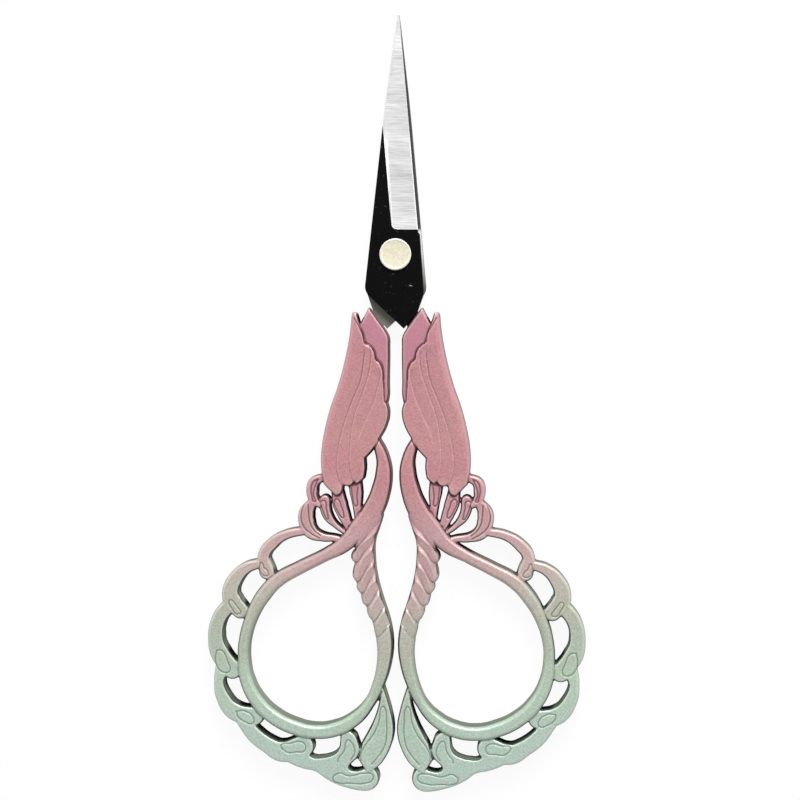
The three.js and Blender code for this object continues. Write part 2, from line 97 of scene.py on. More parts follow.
def set_stops(ramp, stops):
    """Puts (place, colour) stops on a colour ramp."""
    while len(ramp.elements) < len(stops):
        ramp.elements.new(0.5)
    for element, (place, colour) in zip(ramp.elements, stops):
        element.position = place
        element.color = colour


def make_active(piece):
    """Selects the piece alone, for the operators that follow."""
    bpy.ops.object.select_all(action="DESELECT")
    piece.select_set(True)
    bpy.context.view_layer.objects.active = piece


def apply_modifier(piece, kind, **settings):
    """Adds a modifier with its settings to the piece, and applies it."""
    make_active(piece)
    modifier = piece.modifiers.new(kind.title(), kind)
    for name, value in settings.items():
        setattr(modifier, name, value)
    bpy.ops.object.modifier_apply(modifier=modifier.name)


# Blackened steel: a thin dark oxide, even and half glossy, with a few pale specks and one nick of wear.
black_oxide, tree, output = new_material("blackened steel")
SPECK_MM = 0.5
NICK_MM = (2.5, -5.1, 2.3)
NICK_REACH_MM = (0.32, 0.1, 9)
NICK_TURN = math.radians(-14)
place = add(tree, "TexCoord").outputs["Object"]
specks = add(tree, "TexNoise", {"Vector": place, "Scale": 1 / (SPECK_MM * MM), "Detail": 2})
worn = add(tree, "ValToRGB", {"Fac": specks.outputs["Fac"]})
set_stops(worn.color_ramp, [
    (0.0, linear("#020202")), (0.69, linear("#030303")), (0.75, linear("#404040"))])
nick = add(tree, "Mapping", {
    "Vector": place, "Location": pivot + Vector(NICK_MM) * MM, "Rotation": (0, 0, NICK_TURN),
    "Scale": Vector(NICK_REACH_MM) * MM}, vector_type="TEXTURE")
nick = add(tree, "VectorMath", {0: nick.outputs[0]}, operation="LENGTH")
nick = add(tree, "MapRange", {
    "Value": nick.outputs["Value"], "From Min": 1.0, "From Max": 0.5, "To Max": 0.7})
worn = add(tree, "Mix", {"Factor": nick.outputs[0], "A": worn.outputs["Color"], "B": linear("#B0B0AC")},
           data_type="RGBA")
rough = add(tree, "MapRange", {"Value": specks.outputs["Fac"], "To Min": 0.34, "To Max": 0.46})
shader = add(tree, "BsdfPrincipled", {
    "Base Color": worn.outputs["Result"], "Roughness": rough.outputs["Result"], "Specular IOR Level": 0.1})
tree.links.new(shader.outputs[0], output.inputs["Surface"])

# Ground steel: bright, with fine lines across the blade and broader bands where the wheel dwelt.
ground_steel, tree, output = new_material("ground steel")
LINE_MM = 0.22
BAND_MM = 3.2
place = add(tree, "TexCoord").outputs["Object"]
across = add(tree, "Mapping", {
    "Vector": place, "Rotation": (0, 0, math.radians(4)), "Scale": (0.06, 1, 0.06)})
lines = add(tree, "TexNoise", {
    "Vector": across.outputs[0], "Scale": 1 / (LINE_MM * MM), "Detail": 3, "Roughness": 0.7})
bands = add(tree, "TexNoise", {"Vector": across.outputs[0], "Scale": 1 / (BAND_MM * MM), "Detail": 2})
dwell = add(tree, "Mix", {"Factor": 0.4, "A": lines.outputs["Fac"], "B": bands.outputs["Fac"]})
steel = add(tree, "ValToRGB", {"Fac": dwell.outputs["Result"]})
set_stops(steel.color_ramp, [
    (0.32, linear("#BCBCBC")), (0.5, linear("#DDDDDD")), (0.66, linear("#F4F4F3"))])
# Painted shade: the facet's colour is darker towards the tip.
height = add(tree, "SeparateXYZ", {"Vector": place}).outputs["Y"]
dimmer_to_tip = add(tree, "MapRange", {"Value": height, "From Min": pivot.y + 4 * MM, "From Max": pivot.y + 39 * MM,
                                 "To Min": 1.06, "To Max": 0.8})
steel = add(tree, "Mix", {"Factor": 1.0, "A": steel.outputs["Color"], "B": dimmer_to_tip.outputs["Result"]},
            data_type="RGBA", blend_type="MULTIPLY")
rough = add(tree, "MapRange", {"Value": lines.outputs["Fac"], "To Min": 0.3, "To Max": 0.42})
scratch = add(tree, "Bump", {"Height": lines.outputs["Fac"], "Strength": 0.12, "Distance": 0.02 * MM})
shader = add(tree, "BsdfPrincipled", {
    "Base Color": steel.outputs["Result"], "Roughness": rough.outputs["Result"], "Metallic": 1.0,
    "Normal": scratch.outputs["Normal"]})
tree.links.new(shader.outputs[0], output.inputs["Surface"])

# Lapped steel: the inside of the blades, flat and dull grey, with painted light and shade along it.
lapped_steel, tree, output = new_material("lapped steel")
place = add(tree, "TexCoord").outputs["Object"]
lapping = add(tree, "TexNoise", {"Vector": place, "Scale": 1 / (LINE_MM * MM), "Detail": 3})
grey = add(tree, "ValToRGB", {"Fac": lapping.outputs["Fac"]})
set_stops(grey.color_ramp, [(0.3, (0.9, 0.9, 0.9, 1)), (0.7, (1, 1, 1, 1))])
height = add(tree, "SeparateXYZ", {"Vector": place}).outputs["Y"]
# Painted shade low on the shank, where the castings shade it, a painted highlight beside the rivet, and a
# painted shadow on the strip beside the facet.
lit_and_shaded = add(tree, "MapRange", {
    "Value": height, "From Min": pivot.y - 10 * MM, "From Max": pivot.y + 6 * MM})
lit_and_shaded = add(tree, "ValToRGB", {"Fac": lit_and_shaded.outputs["Result"]})
set_stops(lit_and_shaded.color_ramp, [
    (0.12, linear("#85847B")), (0.27, linear("#5C5C56")), (0.42, linear("#A2A29C")),
    (0.53, linear("#C4C4C0")), (0.64, linear("#EEEEEB")), (0.86, linear("#F6F6F4")),
    (0.9, linear("#3C3C3A"))])
grey = add(tree, "Mix", {"Factor": 1.0, "A": lit_and_shaded.outputs["Color"], "B": grey.outputs["Color"]},
           data_type="RGBA", blend_type="MULTIPLY")
shader = add(tree, "BsdfPrincipled", {
    "Base Color": grey.outputs["Result"], "Roughness": 0.5, "Metallic": 0.3})
tree.links.new(shader.outputs[0], output.inputs["Surface"])

# Bare edge: a hair line of bare steel round the ground facet, painted near white as a glint, and duller above
# the black.
bare_edge_glint, tree, output = new_material("bare steel edge glint")
height = add(tree, "SeparateXYZ", {"Vector": add(tree, "TexCoord").outputs["Object"]}).outputs["Y"]
dimmer_to_tip = add(tree, "MapRange", {
    "Value": height, "From Min": pivot.y + 18 * MM, "From Max": pivot.y + 21 * MM})
bright = add(tree, "Mix", {
    "Factor": dimmer_to_tip.outputs["Result"], "A": linear("#F6F6F4"), "B": linear("#CCCCCA")}, data_type="RGBA")
shader = add(tree, "BsdfPrincipled", {"Base Color": bright.outputs["Result"], "Roughness": 0.5})
tree.links.new(shader.outputs[0], output.inputs["Surface"])

EDGE_BREAK_MM = 0.08
BRIGHT_LINE_MM = 0.13
FACET_TILT = (0.93, 0.985)
SHANK_FLARE_MM = 0.36
SHANK_SIDE_MM = 3
SHANK_HEIGHTS_MM = (-10, -6.4, 3.7)
LEAN = math.radians(-0.6)
to_pivot = Matrix.Translation(pivot)
for node, body, inward in (("front_blade", "front_half", -1), ("back_blade", "back_half", 1)):
    blade = bpy.data.objects.new(node.replace("_", "-"), frame["nodes"][node].data.copy())
    bpy.context.scene.collection.objects.link(blade)
    make_active(blade)
    bpy.ops.object.mode_set(mode="EDIT")
    bpy.ops.mesh.select_all(action="SELECT")
    bpy.ops.mesh.remove_doubles(threshold=1e-6)
    bpy.ops.mesh.dissolve_limited(angle_limit=math.radians(1))
    bpy.ops.mesh.select_mode(type="FACE")
    bpy.ops.mesh.select_all(action="DESELECT")
    bpy.ops.object.mode_set(mode="OBJECT")
    blade.data.materials.clear()
    blade.data.materials.append(black_oxide)
    blade.data.materials.append(ground_steel)
    blade.data.materials.append(lapped_steel)
    blade.data.materials.append(bare_edge_glint)
    for face in blade.data.polygons:
        facet = FACET_TILT[0] < abs(face.normal.z) < FACET_TILT[1]
        bare = face.normal.z * inward > FACET_TILT[1]
        face.material_index = 1 if facet else 2 if bare else 0
        face.select = facet
    bpy.ops.object.mode_set(mode="EDIT")
    bpy.ops.mesh.inset(thickness=BRIGHT_LINE_MM * MM)
    bpy.ops.object.mode_set(mode="OBJECT")
    # The ring that the inset leaves round the facet takes the painted glint.
    for face in blade.data.polygons:
        if face.material_index == 1 and not face.select:
            face.material_index = 3
    # The shank flares a little below the rivet, and is widest at its corner.
    for vertex in blade.data.vertices:
        if -inward * vertex.co.x > SHANK_SIDE_MM * MM:
            above_pivot = (vertex.co.y - pivot.y) / MM
            flare = np.interp(above_pivot, SHANK_HEIGHTS_MM, (0, SHANK_FLARE_MM, 0))
            vertex.co.x -= inward * flare * MM
    apply_modifier(blade, "BEVEL", width=EDGE_BREAK_MM * MM, segments=2, limit_method="ANGLE",
                   angle_limit=math.radians(30), use_clamp_overlap=True)
    # The pair sits a little askew in the castings, and leans to the right.
    blade.data.transform(to_pivot @ Matrix.Rotation(LEAN, 4, "Z") @ to_pivot.inverted())
    make_active(blade)
    bpy.ops.object.shade_smooth_by_angle(angle=math.radians(5))
    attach(blade, body)
    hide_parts(node)

# Castings
# Each handle is one zinc die casting, poured round the tang of its blade: a flower under the rivet,
# a stem that runs on into the finger loop, a rope up the loop's inner leg, and scallops round it.
# Both handles come from one mould, and the left one is turned over.
FLOWER_TOP_MM = 8.9
FLOWER_INSET_MM = 1.05
FLOWER_LENGTH_MM = 30.6
FLOWER_WIDTH_MM = 11.2
LOOP_TOP_MM = 48.0
LOOP_INSET_MM = 1.7
LOOP_LENGTH_MM = 30.1
LOOP_WIDTH_MM = 23.2
low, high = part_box("right_handle")
half_thickness = (high.z - low.z) / 2
EDGE_MM = 0.4
EDGE_STRETCH = 2.2
casting_parts = []


def on_flower(across, down, *rest):
    """A place on the flower in percent: outwards from its inner side, and down from its tip."""
    x = FLOWER_INSET_MM + across / 100 * FLOWER_WIDTH_MM
    y = FLOWER_TOP_MM + down / 100 * FLOWER_LENGTH_MM
    return (pivot.x + x * MM, pivot.y - y * MM, *rest)


def on_loop(across, down, *rest):
    """A place on the finger loop in percent: outwards from its inner side, and down from the fork."""
    x = LOOP_INSET_MM + across / 100 * LOOP_WIDTH_MM
    y = LOOP_TOP_MM + down / 100 * LOOP_LENGTH_MM
    return (pivot.x + x * MM, pivot.y - y * MM, *rest)


def draw(points, corners=(), closed=False):
    """Draws a smooth line through the points, with sharp corners where they are named."""
    bpy.ops.curve.primitive_bezier_curve_add()
    line = bpy.context.object
    line.data.resolution_u = 10
    spline = line.data.splines[0]
    spline.use_cyclic_u = closed
    spline.bezier_points.add(len(points) - 2)
    for index, (knot, point) in enumerate(zip(spline.bezier_points, points)):
        knot.co = (point[0], point[1], 0)
        kind = "VECTOR" if index in corners else "AUTO"
        knot.handle_left_type = kind
        knot.handle_right_type = kind
    return line


def thicken(half, edge=EDGE_MM * MM, stretch=EDGE_STRETCH):
    """Makes the flat piece at hand a cast one: as thick as the mould, with drafted, rounded edges."""
    squashed = half / stretch
    bpy.ops.object.mode_set(mode="EDIT")
    bpy.ops.mesh.select_all(action="SELECT")
    bpy.ops.mesh.remove_doubles(threshold=1e-6)
    bpy.ops.transform.translate(value=(0, 0, -squashed))
    bpy.ops.mesh.extrude_region_move(TRANSFORM_OT_translate={"value": (0, 0, 2 * squashed)})
    bpy.ops.mesh.select_all(action="SELECT")
    bpy.ops.mesh.normals_make_consistent(inside=False)
    bpy.ops.mesh.select_mode(type="EDGE")
    bpy.ops.mesh.select_all(action="DESELECT")
    bpy.ops.mesh.edges_select_sharp(sharpness=math.radians(60))
    bpy.ops.mesh.bevel(offset=edge, segments=5, affect="EDGES", clamp_overlap=False)
    bpy.ops.object.mode_set(mode="OBJECT")
    piece = bpy.context.object
    piece.scale.z = stretch
    bpy.ops.object.transform_apply(location=True, rotation=True, scale=True)
    casting_parts.append(piece)


def cast_plate(runs, half, edge=EDGE_MM * MM):
    """A cast plate inside smooth runs that meet in corners."""
    points = [point for run in runs for point in run]
    corners = np.cumsum([0] + [len(run) for run in runs[:-1]])
    draw(points, corners, closed=True)
    bpy.ops.object.convert(target="MESH")
    bpy.ops.object.mode_set(mode="EDIT")
    bpy.ops.mesh.select_all(action="SELECT")
    bpy.ops.mesh.edge_face_add()
    bpy.ops.object.mode_set(mode="OBJECT")
    thicken(half, edge)


def ribbon(path, band):
    """A flat ribbon along (x, y, share of the band) points."""
    line = draw(path)
    line.data.twist_mode = "Z_UP"
    line.data.extrude = band / 2
    for knot, point in zip(line.data.splines[0].bezier_points, path):
        knot.radius = point[2]
        knot.tilt = math.pi / 2
    bpy.ops.object.convert(target="MESH")


def round_end(point, band, half):
    """A cast disc that rounds the end of a bar at its (x, y, share of the band) point."""
    bpy.ops.mesh.primitive_circle_add(
        vertices=40, radius=point[2] * band / 2, fill_type="NGON", location=(point[0], point[1], 0))
    bpy.ops.object.transform_apply(location=True, rotation=True, scale=True)
    thicken(half)


def cast_bar(path, band, half, round_start=False, round_last=False):
    """A cast bar along a path, with the ends that are named rounded."""
    ribbon(path, band)
    thicken(half)
    if round_start:
        round_end(path[0], band, half)
    if round_last:
        round_end(path[-1], band, half)


# Petals: the front ones overlap like feathers, and the back one shows beside them, a step lower.
BACK_PETAL_DROP_MM = 0.35
cast_plate([
    [on_flower(*p) for p in ((54.5, 1.5), (57.3, 12), (63.9, 25.4), (75.5, 41.4), (85.8, 52.1),
                             (94.5, 64.4), (99.6, 76.1), (99.6, 85.8))],
    [on_flower(*p) for p in ((96, 93.8), (84.3, 98), (77, 99.9), (69.7, 98.6))],
    [on_flower(*p) for p in ((66.8, 94.4), (62, 94.9), (55.5, 94.5))],
    [on_flower(*p) for p in ((51, 92.5), (47, 93.7), (42, 92.6))],
    [on_flower(*p) for p in ((36.1, 90.6), (34, 85.2))],
    [on_flower(*p) for p in ((34.7, 79.9), (23, 75.1), (14.2, 69.7), (4, 62.8), (-0.3, 55.8), (1.8, 51))],
    [on_flower(*p) for p in ((5, 49), (6.4, 41.4), (8.4, 32.3))],
    [on_flower(*p) for p in ((12.8, 28.3), (17.2, 27), (20.1, 22.7), (27.4, 19.3))],
    [on_flower(*p) for p in ((33.2, 18.5), (36.5, 14), (42, 8))],
    [on_flower(47.5, 1.5)],
], half_thickness)
cast_plate([
    [on_flower(29.6, -1.4)],
    [on_flower(*p) for p in ((5.5, 11), (0.4, 14.7), (-0.3, 20.1), (0.2, 38.8), (0.4, 47))],
    [on_flower(5, 53)],
    [on_flower(40, 30)],
    [on_flower(48, 14)],
    [on_flower(*p) for p in ((41, 6.4), (33, 1.2))],
], half_thickness - BACK_PETAL_DROP_MM * MM)

# Stamens and curls: slim drops below the petals.
STAMEN_WIDTH_MM = 2.1
STAMEN_DROP_MM = 0.6
CURL_WIDTH_MM = 1.85
SCALLOP_DROP_MM = 0.4
for stamen in (
    ((50.7, 92.2, 1.1), (48.5, 98.6, 1.05), (47.1, 105, 0.77), (45.6, 113.5, 0.55)),
    ((76.3, 97.5, 1), (72.6, 104.5, 1.18), (66.8, 110.3, 1), (58, 118.3, 0.63)),
    ((94.5, 102.3, 0.9), (93.8, 107.1, 0.9), (89.4, 111.4, 0.8), (79.9, 115.4, 0.54),
     (62.4, 120.5, 0.42)),
):
    cast_bar([on_flower(*p) for p in stamen], STAMEN_WIDTH_MM * MM, half_thickness - STAMEN_DROP_MM * MM,
             round_start=True)
for curl in (
    ((97.4, 90.2, 0.7), (110.6, 93, 1.02), (113.3, 97.4, 1.08), (110.6, 102.1, 0.94),
     (99, 105.8, 0.55)),
    ((113.5, 103.9, 0.9), (121.5, 109.3, 1.43), (121.5, 114.1, 1.48), (114.9, 119.4, 1.33),
     (98.9, 122.1, 0.87), (78.5, 122.9, 0.66), (65.3, 124.2, 0.61)),
):
    cast_bar([on_flower(*p) for p in curl], CURL_WIDTH_MM * MM, half_thickness - SCALLOP_DROP_MM * MM,
             round_start=True)

# Stem and finger loop: one bar, from under the petals, round the finger and back to the fork.
LOOP_BAND_MM = 2.2
LOOP_EDGE_MM = 0.7
LOOP_EDGE_STRETCH = 1.4
loop = [on_flower(*p) for p in (
    (19.5, 68.5, 0.4), (13.7, 74.8, 0.86), (9.2, 80.4, 1), (8, 86.8, 1.22), (11.5, 95.7, 1.42),
    (22.5, 106.6, 1.58), (43.4, 117.3, 1.5))]
loop += [on_loop(*p) for p in (
    (29.2, -1.7, 1.2), (43.3, 4.5, 0.95), (60.9, 11.3, 1), (76.4, 18.1, 1.1), (87.6, 27.3, 1.1),
    (95.6, 38.8, 0.9), (100.2, 50.7, 0.85), (101, 61.7, 0.86), (98.4, 74, 1.02), (90.6, 85, 1.1),
    (79, 93.3, 1.14), (64.6, 98.7, 1.15), (50.3, 100.9, 1.1), (36, 99.6, 1.12), (21.6, 93.9, 1.03),
    (11.3, 85.2, 0.83), (4.5, 74, 0.93), (0.6, 61.5, 1.1), (0.2, 51.8, 1.25), (2.6, 40.9, 1.3),
    (8, 29, 1.4), (12.6, 17, 1.5), (14.4, 6.2, 1.5))]
loop += [on_flower(*p) for p in ((34.2, 123.1, 1.43), (26, 115, 1.3), (22.5, 110, 1.38), (21, 105, 1))]
ribbon(loop, LOOP_BAND_MM * MM)
thicken(half_thickness, LOOP_EDGE_MM * MM, LOOP_EDGE_STRETCH)

# Rope: its strands lean across the loop's inner leg, and their ends bulge into the finger hole.
# Each strand has a valley above it and a lip along its crest, which runs out at the next notch.
ROPE_DROP_MM = 0.1
ROPE_EDGE_MM = 0.55
rope_valleys = (
    ((9.5, -9.4), (14, -5.6), (17.4, -2.4), (20.7, 0.1)),
    ((8.5, -2.6), (11.7, 0), (14, 1.6), (16.1, 3.9), (17.8, 6.1), (19.6, 7.7), (21.7, 8.5)),
    ((7.5, 5.4), (10.5, 8.4), (12.8, 10.9), (14.6, 13.4), (16.1, 15.8), (17.8, 17.7), (20.2, 19.3)),
    ((6.4, 12.3), (9, 15.4), (10.8, 17.7), (12, 19.5), (13.4, 22), (14.9, 24), (17.5, 25.2)),
    ((2.2, 19.4), (4, 21.7), (6.1, 24.4), (8.4, 27.6), (10.8, 30.5), (13.3, 32.1)),
    ((-1.6, 30.4), (0.2, 32.1), (2.3, 33.9), (4, 36.2), (5.8, 38.5), (8.3, 40.5)),
    ((-4.6, 40.6), (-2.7, 42.3), (-0.7, 43.9), (1.7, 46.2), (4.3, 48), (6.9, 48.5)),
)
rope_lips = (
    ((6.8, -8.3), (10.1, -6.3), (13.2, -4.4), (16.1, -2.6), (19, -0.6), (21.1, 3.2), (21.4, 7.5)),
    ((7.2, -0.5), (9.4, 1), (11.9, 2.6), (15.1, 5.3), (17.3, 8.5), (19, 12.4), (19.7, 16.2), (19.8, 19)),
    ((6.6, 8.7), (10, 10.4), (13.2, 12.9), (15.7, 16.9), (17.1, 20), (17.3, 22.4), (16.3, 24.8)),
    ((5.1, 16.6), (7.3, 18.1), (9.4, 19.3), (12.5, 22.3), (14.4, 25.4), (14.6, 28.7), (13.2, 31.7)),
    ((2.3, 24.1), (4.4, 26), (6.1, 27.7), (8.7, 30.6), (10.2, 33.8), (10.1, 37.1), (8.5, 39.8)),
    ((-1.3, 33), (0.8, 34.7), (2.7, 36.5), (4.8, 38.8), (6.2, 42), (6.5, 45.3), (5.8, 48.5)),
    ((-4.5, 42.5), (-2.4, 44.3), (-0.3, 46), (2.3, 48.7), (4.1, 51.8)),
)
cast_plate([
    [on_loop(*p) for p in ((20.7, 0.1), (23.4, 2.2), (24.2, 5.8))],
    [on_loop(*p) for p in ((21.7, 8.5), (23, 12.3), (23, 16.1))],
    [on_loop(*p) for p in ((20.2, 19.3), (20.3, 22.2))],
    [on_loop(*p) for p in ((17.5, 25.2), (17.1, 27.5), (15.8, 30.6))],
    [on_loop(*p) for p in ((13.3, 32.1), (12.9, 35.5), (11.1, 38.4))],
    [on_loop(*p) for p in ((8.3, 40.5), (8.2, 43.9), (7.4, 46.9))],
    [on_loop(*p) for p in ((6.9, 48.5), (4.5, 52))],
    [on_loop(*p) for p in ((1, 52), (8, 30), (13, 10), (15, 0))],
], half_thickness - ROPE_DROP_MM * MM, ROPE_EDGE_MM * MM)

# Scallops: each arches outside the loop and ends in a round lobe on it.
SCALLOP_BAND_MM = 2.4
scallops = [[on_flower(123.7, 118.9, 0.6)] + [on_loop(*p) for p in (
    (70.9, -6.6, 0.68), (80.4, -1.8, 0.85), (86.2, 4.6, 0.88), (84, 13.4, 1.14))]]
scallops += [[on_loop(*p) for p in arch] for arch in (
    ((89.1, 8.9, 0.67), (98.9, 11.6, 0.82), (106.7, 17.6, 1.04), (110.2, 24.6, 1.2),
     (108.6, 29.6, 1.36), (103.2, 34.6, 1.23)),
    ((110.2, 31.1, 1.04), (118.6, 39.8, 1.04), (120.6, 50.7, 1.13), (117.9, 58.1, 1.38), (109, 67.3, 1.35)),
    ((115.8, 65.9, 1.04), (118.3, 74, 0.74), (115.1, 83.3, 1.04), (107.4, 90.3, 1.3), (93, 92.9, 1.3)),
    ((101, 95.2, 1.04), (93.2, 102.9, 1.15), (83.8, 108.4, 1.2), (73.6, 112, 1.5), (58.5, 109, 1.6)),
)]
for arch in scallops:
    cast_bar(arch, SCALLOP_BAND_MM * MM, half_thickness - SCALLOP_DROP_MM * MM,
             round_start=True, round_last=True)

# Foot: it carries on from the last scallop, with a tall lobe that stands up to the loop.
cast_plate([
    [on_loop(*p) for p in ((6.8, 120.8), (4.6, 123.7), (4.4, 127.5), (7, 131), (11.5, 133), (18, 133.1),
                           (27.5, 131.6), (36, 129.4), (43.5, 126.2), (49.5, 123), (58, 121.5),
                           (67.5, 118.8))],
    [on_loop(76, 114.6)],
    [on_loop(66, 109)],
    [on_loop(*p) for p in ((57, 108.5), (54, 112.8), (50.5, 114.7), (45.6, 114.7), (39.8, 113.8),
                           (35.4, 112), (33, 109.6), (32.2, 106.6), (31.2, 102.3), (26.6, 100),
                           (21.5, 101.6), (18.9, 105.7), (17.6, 109.8), (18.4, 112.8))],
    [on_loop(*p) for p in ((20.1, 115.6), (23, 117.4))],
    [on_loop(*p) for p in ((25.8, 119.9), (24.4, 121.1), (21.1, 121.6), (17.2, 121))],
    [on_loop(15.6, 120.5)],
], half_thickness - SCALLOP_DROP_MM * MM)

# Leaf: it hangs from the foot of the loop, beside the middle line.
LEAF_DROP_MM = 0.3
cast_plate([
    [on_loop(*p) for p in ((1, 75.2), (-1.8, 81.6), (-4.7, 89.8), (-6.3, 96.8), (-5.9, 103.4), (-4, 108.7),
                           (-1.1, 113.6), (2.8, 118.1))],
    [on_loop(6.5, 120.7)],
    [on_loop(12, 124)],
    [on_loop(15.6, 120.2)],
    [on_loop(*p) for p in ((19.4, 115.6), (18.2, 112.5), (17.4, 109.4))],
    [on_loop(*p) for p in ((16.8, 106.7), (13, 101.6), (9, 95.5), (4.8, 86))],
    [on_loop(3.2, 79)],
], half_thickness - LEAF_DROP_MM * MM)

# One metal: the parts run into each other, and a fine skin is laid over them.
SKIN_MM = 0.12
bpy.ops.object.select_all(action="DESELECT")
for part in casting_parts:
    part.select_set(True)
casting = casting_parts[0]
bpy.context.view_layer.objects.active = casting
bpy.ops.object.join()
casting.name = "right-handle"
apply_modifier(casting, "REMESH", mode="VOXEL", voxel_size=SKIN_MM * MM)
apply_modifier(casting, "SMOOTH", factor=0.5, iterations=3)


def trace(points, spacing):
    """The places along a smooth line through the points, seen from above, and the direction at each."""
    draw(points)
    bpy.ops.object.convert(target="MESH")
    drawn = np.array([v.co[:2] for v in bpy.context.object.data.vertices])
    bpy.ops.object.delete()
    run = np.r_[0, np.cumsum(np.linalg.norm(np.diff(drawn, axis=0), axis=1))]
    at = np.linspace(0, run[-1], max(3, int(run[-1] / spacing)))
    places = np.column_stack([np.interp(at, run, drawn[:, 0]), np.interp(at, run, drawn[:, 1])])
    ahead = np.gradient(places, axis=0)
    return places, ahead / np.linalg.norm(ahead, axis=1, keepdims=True)


def beside(flat, points, reach, spacing=0.12 * MM):
    """How far the places in flat are from a line, how far to its left, and their share of its length."""
    places, ahead = trace(points, spacing)
    away = np.full(len(flat), np.inf)
    left = np.zeros(len(flat))
    share = np.zeros(len(flat))
    near = np.flatnonzero(np.all((flat > places.min(0) - reach) & (flat < places.max(0) + reach), axis=1))
    for part in np.array_split(near, len(near) // 4000 + 1):
        gap = flat[part][:, None, :] - places[None, :, :]
        index = np.argmin((gap ** 2).sum(2), axis=1)
        gap = gap[np.arange(len(part)), index]
        along = np.abs((gap * ahead[index]).sum(1))
        share[part] = index / (len(places) - 1)
        left[part] = ahead[index][:, 0] * gap[:, 1] - ahead[index][:, 1] * gap[:, 0]
        away[part] = np.hypot(left[part], np.maximum(along - spacing / 2, 0))
    return away, left, share


mesh = casting.data
co = np.empty(len(mesh.vertices) * 3, np.float32)
mesh.vertices.foreach_get("co", co)
co = co.reshape(-1, 3).astype(float)
normal = np.empty(len(mesh.vertices) * 3, np.float32)
mesh.vertices.foreach_get("normal", normal)
normal = normal.reshape(-1, 3)
flat = co[:, :2]
ends = np.empty(len(mesh.edges) * 2, np.int32)
mesh.edges.foreach_get("vertices", ends)
ends = ends.reshape(-1, 2)
count = np.bincount(ends.ravel(), minlength=len(co))


def spread(values, rounds):
    """Averages the values of the vertices with those of their neighbours."""
    for _ in range(rounds):
        total = [np.bincount(ends[:, 0], values[ends[:, 1], i], len(co))
                 + np.bincount(ends[:, 1], values[ends[:, 0], i], len(co)) for i in range(values.shape[1])]
        values = np.column_stack(total) / count[:, None]
    return values


def soft_line(distance, at, width):
    """A soft line that runs at mm from a drawn one: 1 in its middle, and fading out over its width in mm."""
    return np.exp(-((distance - at * MM) / (width * MM)) ** 2)


hollow = ((spread(co, 10) - co) * normal).sum(1)
down = np.zeros(len(co))
wash_and_shade = np.zeros(len(co))
painted_highlight = np.zeros(len(co))

# Overlap of the petals: each line is the edge of a petal that lies over its outer neighbour.
OVERLAP_MM = 0.14
OVERLAP_RUN_MM = 1.2
LINE_REACH_MM = 0.4
petal_lines = (
    ((34.7, 19.5), (36.1, 26.5), (38.3, 32.3), (42, 38.8), (47.8, 44.1), (52.2, 47.8), (59.5, 54.8),
     (66.8, 62.8), (72.6, 70.8), (75.5, 77.2), (76.5, 84.2), (73.5, 90), (67, 95.8)),
    ((25.9, 19.4), (28, 31.8), (39.1, 45.2), (50.7, 57.4), (56.6, 70.8), (57.5, 82.6), (54.5, 89),
     (50.8, 94)),
    ((9.9, 32), (18.6, 45.2), (30.3, 56.4), (42, 66), (46.5, 74), (46, 81)),
)
for line, shade, fade in zip(petal_lines, (0.66, 0.5, 0.4), (0.04, 0.04, 0.3)):
    away, left, share = beside(flat, [on_flower(*p) for p in line], 4 * MM)
    strength = np.clip(share / 0.06, 0, 1) * np.clip((1 - share) / fade, 0, 1) * np.isfinite(away)
    down += np.where(left > 0, OVERLAP_MM * MM * strength * np.exp(-left / (OVERLAP_RUN_MM * MM)), 0)
    strength = strength * (away < LINE_REACH_MM * MM)
    # Beside each line a painted shadow falls on the lower petal, and a painted highlight runs along the upper
    # petal's edge.
    wash_and_shade = np.maximum(wash_and_shade, soft_line(left, 0.06, 0.12) * strength * shade * np.clip(1.3 - share, 0.4, 1))
    painted_highlight = np.maximum(painted_highlight, soft_line(left, -0.14, 0.1) * strength * 0.6)

# Shoulder of the outer petal: it bends down in a ridge along its outer side.
SHOULDER_MM = 1.0
SHOULDER_DROP_MM = 0.3
outer_side = ((54.5, 2.4), (57.3, 12), (63.9, 25.4), (75.5, 41.4), (85.8, 52.1), (94.5, 64.4),
              (99.6, 76.1), (99.6, 85.8))
away, left, share = beside(flat, [on_flower(*p) for p in outer_side], 2 * MM)
bend = np.clip(1 - away / (SHOULDER_MM * MM), 0, 1) * np.clip((1 - share) / 0.1, 0, 1)
down += SHOULDER_DROP_MM * MM * bend
on_petal = left * left[np.argmax(bend)] > 0
# A painted highlight runs along the ridge of the shoulder.
painted_highlight = np.maximum(painted_highlight, soft_line(away, SHOULDER_MM, 0.12) * on_petal * 0.3)

# Strands of the rope: each rises from its valley to its lip, and falls away to the next valley.
STRAND_STEP_MM = 0.26
VALLEY_MM = 0.18
STRAND_LIP_MM = 0.17
ROPE_REACH_MM = 8


def below_lines(lines, width):
    """How far the places are below each line of the rope, a soft mark on it, and their share of its length."""
    found = []
    for line in lines:
        away, left, share = beside(flat, [on_loop(*p) for p in line], ROPE_REACH_MM * MM)
        mark = soft_line(left, 0, width) * (away < 0.5 * MM)
        found.append((np.where(np.isfinite(away), -left, np.nan), mark, share))
    return found


valleys = below_lines(rope_valleys, VALLEY_MM)
lips = below_lines(rope_lips, STRAND_LIP_MM)
